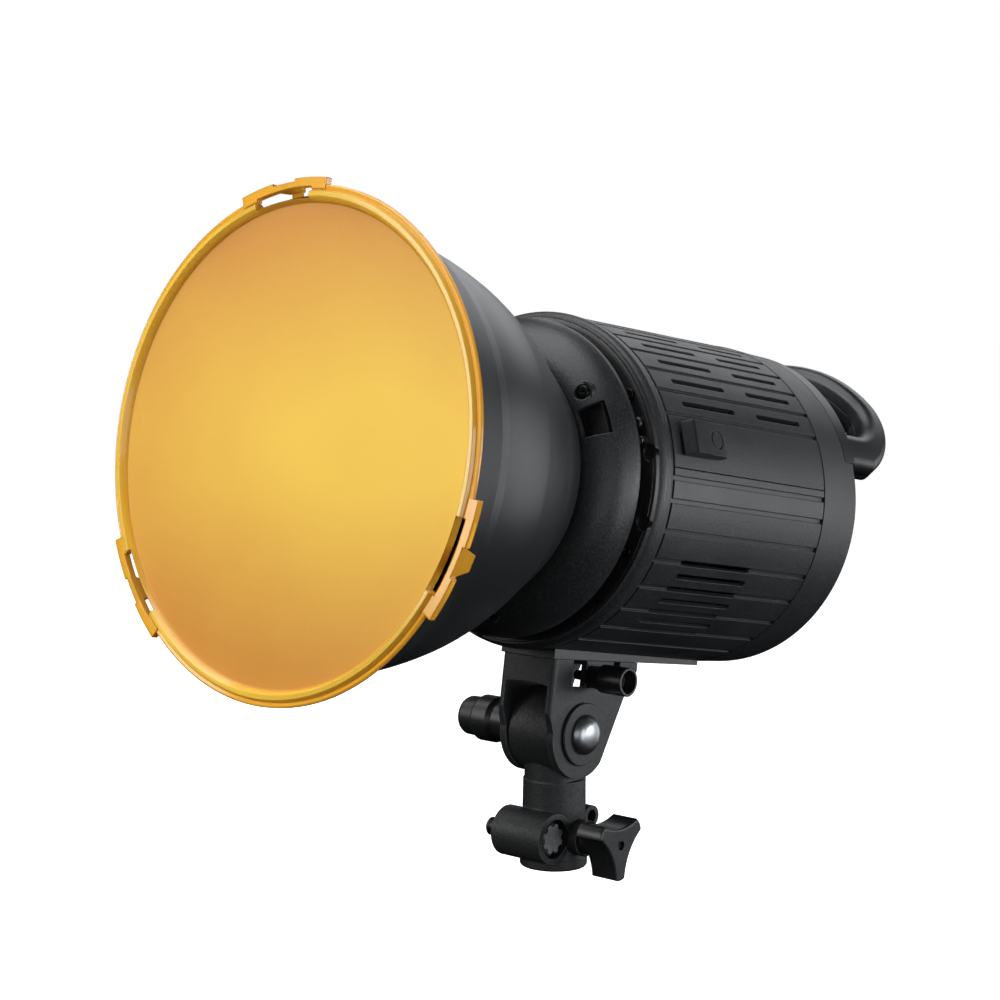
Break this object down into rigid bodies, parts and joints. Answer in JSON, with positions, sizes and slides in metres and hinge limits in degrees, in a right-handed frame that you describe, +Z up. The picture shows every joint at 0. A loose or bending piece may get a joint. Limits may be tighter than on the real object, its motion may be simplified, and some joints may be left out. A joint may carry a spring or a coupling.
{
  "type": "led video light",
  "caption": "Round studio LED light with a bayonet reflector, clip-on amber diffusion filter, rear carry handle, and a tilt bracket with a stand socket.",
  "frame": {"origin": "centre of the stand socket's mouth, at the bottom of the adapter", "axes": "+Z up along the stand socket, the lamp points along -Y and 8.2 degrees up at rest, and the release latch and the pivot bolt's domed head are on +X"},
  "size_m": [0.186, 0.3364, 0.2737],
  "materials": {
    "frosted_amber": "frosted on its face, glossy on its rim and clips",
    "reflector_black": "black satin lacquer outside, bright inside",
    "collar_black": "satin moulded plastic",
    "bayonet_metal": "turned and bright",
    "body_black": "fine-grained moulded plastic",
    "panel_black": "fine-grained moulded plastic",
    "steel_black": "black powder coat",
    "casting_black": "coarse black powder coat on a casting",
    "screw_black": "blackened",
    "screw_bright": "zinc plated",
    "bolt_bright": "polished dark steel",
    "knob_black": "satin moulded plastic",
    "nut_gray": "moulded gray plastic",
    "dial_rubber": "soft-touch",
    "key_gray": "satin",
    "rocker_black": "semi-gloss",
    "window_smoke": "smoked",
    "glass_clear": "clear",
    "heat_sink_metal": "extruded, clear anodised",
    "board_green": "circuit board laminate",
    "emitter_yellow": "phosphor under silicone",
    "module_gray": "moulded",
    "fan_black": "moulded",
    "pin_brass": "plated"
  },
  "bodies": {
    "stand": {"stand_adapter": "casting_black", "cross_bolt": "screw_black", "cross_nut": "nut_gray"},
    "head": {"front_bezel": "body_black", "mount_ring": "bayonet_metal", "mount_ring_screws": "screw_black", "upper_cover": "body_black", "lower_cover": "body_black", "rear_cap": "body_black", "rear_panel": "panel_black", "panel_screws": "screw_black", "display_window": "window_smoke", "display_module": "module_gray", "control_board": "board_green", "switch_housing": "panel_black", "power_inlet": "panel_black", "inlet_pins": "pin_brass", "handle_outer_shell": "knob_black", "handle_inner_shell": "knob_black", "handle_screws": "screw_black", "latch_spring": "screw_bright", "spring_bracket": "screw_bright", "glass_holder": "steel_black", "glass_cover": "glass_clear", "glass_ring": "screw_bright", "led_board": "heat_sink_metal", "led_emitter": "emitter_yellow", "led_screws": "screw_bright", "heat_sink": "heat_sink_metal", "fan_frame": "fan_black", "fan_screws": "screw_bright", "driver_board": "board_green", "driver_transformer": "module_gray", "driver_capacitors": "module_gray", "base_rail": "body_black", "tilt_yoke": "steel_black", "yoke_screws": "screw_black", "pivot_bolt": "bolt_bright", "near_washer": "steel_black", "far_washer": "steel_black", "friction_discs": "fan_black"},
    "clamp": {"clamp_screw": "bolt_bright", "clamp_handle": "knob_black"},
    "tilt_nut": {"tilt_knob": "knob_black", "tilt_knob_cap": "knob_black"},
    "side_lock": {"side_lock_knob": "knob_black"},
    "reflector": {"reflector_bowl": "reflector_black", "reflector_collar": "collar_black", "bayonet_ring": "bayonet_metal", "collar_screws": "screw_black"},
    "filter": {"diffusion_filter": "frosted_amber"},
    "latch": {"release_latch": "knob_black", "lock_pin": "screw_bright"},
    "brightness": {"brightness_dial": "dial_rubber"},
    "channel": {"channel_dial": "dial_rubber"},
    "mode_key": {"mode_button": "key_gray"},
    "group_key": {"group_button": "key_gray"},
    "test_key": {"test_button": "key_gray"},
    "rocker": {"power_rocker": "rocker_black"},
    "fan": {"fan_rotor": "fan_black"}
  },
  "joints": [
    {"name": "head_tilt", "type": "hinge", "parent": "stand", "child": "head", "pos_m": [0, 0, 0.056], "axis": [1, 0, 0], "range_deg": [-55, 75]},
    {"name": "tilt_knob_turn", "type": "hinge", "parent": "head", "child": "tilt_nut", "pos_m": [-0.03, 0, 0.056], "axis": [-1, 0, 0], "range_deg": [0, 270]},
    {"name": "clamp_turn", "type": "hinge", "parent": "stand", "child": "clamp", "pos_m": [0.03, 0, 0.0135], "axis": [1, 0, 0], "range_deg": [0, 300]},
    {"name": "side_lock_turn", "type": "hinge", "parent": "head", "child": "side_lock", "pos_m": [0.025, 0.00581, 0.0788], "axis": [1, 0, 0], "range_deg": [0, 300]},
    {"name": "reflector_twist", "type": "hinge", "parent": "head", "child": "reflector", "pos_m": [0, -0.02582, 0.16075], "axis": [0, 0.9898, -0.1426], "range_deg": [0, 40]},
    {"name": "filter_pull", "type": "slide", "parent": "reflector", "child": "filter", "axis": [0, -0.9898, 0.1426], "range_m": [0, 0.06]},
    {"name": "latch_slide", "type": "slide", "parent": "head", "child": "latch", "axis": [0, 0.9898, -0.1426], "range_m": [0, 0.005], "stiffness_N_per_m": 500, "springref_m": -0.002, "deforming": ["latch_spring"]},
    {"name": "brightness_turn", "type": "hinge", "parent": "head", "child": "brightness", "pos_m": [0.025, 0.11939, 0.13781], "axis": [0, 0.9898, -0.1426], "range_deg": [-150, 150]},
    {"name": "channel_turn", "type": "hinge", "parent": "head", "child": "channel", "pos_m": [-0.025, 0.11939, 0.13781], "axis": [0, 0.9898, -0.1426], "range_deg": [-150, 150]},
    {"name": "mode_press", "type": "slide", "parent": "head", "child": "mode_key", "axis": [0, -0.9898, 0.1426], "range_m": [0, 0.0012], "stiffness_N_per_m": 900, "springref_m": -0.0006},
    {"name": "group_press", "type": "slide", "parent": "head", "child": "group_key", "axis": [0, -0.9898, 0.1426], "range_m": [0, 0.0012], "stiffness_N_per_m": 900, "springref_m": -0.0006},
    {"name": "test_press", "type": "slide", "parent": "head", "child": "test_key", "axis": [0, -0.9898, 0.1426], "range_m": [0, 0.0012], "stiffness_N_per_m": 900, "springref_m": -0.0006},
    {"name": "power_rock", "type": "hinge", "parent": "head", "child": "rocker", "pos_m": [-0.022, 0.10783, 0.11017], "axis": [1, 0, 0], "range_deg": [0, 14]},
    {"name": "fan_spin", "type": "hinge", "parent": "head", "child": "fan", "pos_m": [0, 0.05633, 0.14892], "axis": [0, 0.9898, -0.1426], "continuous": true}
  ]
}
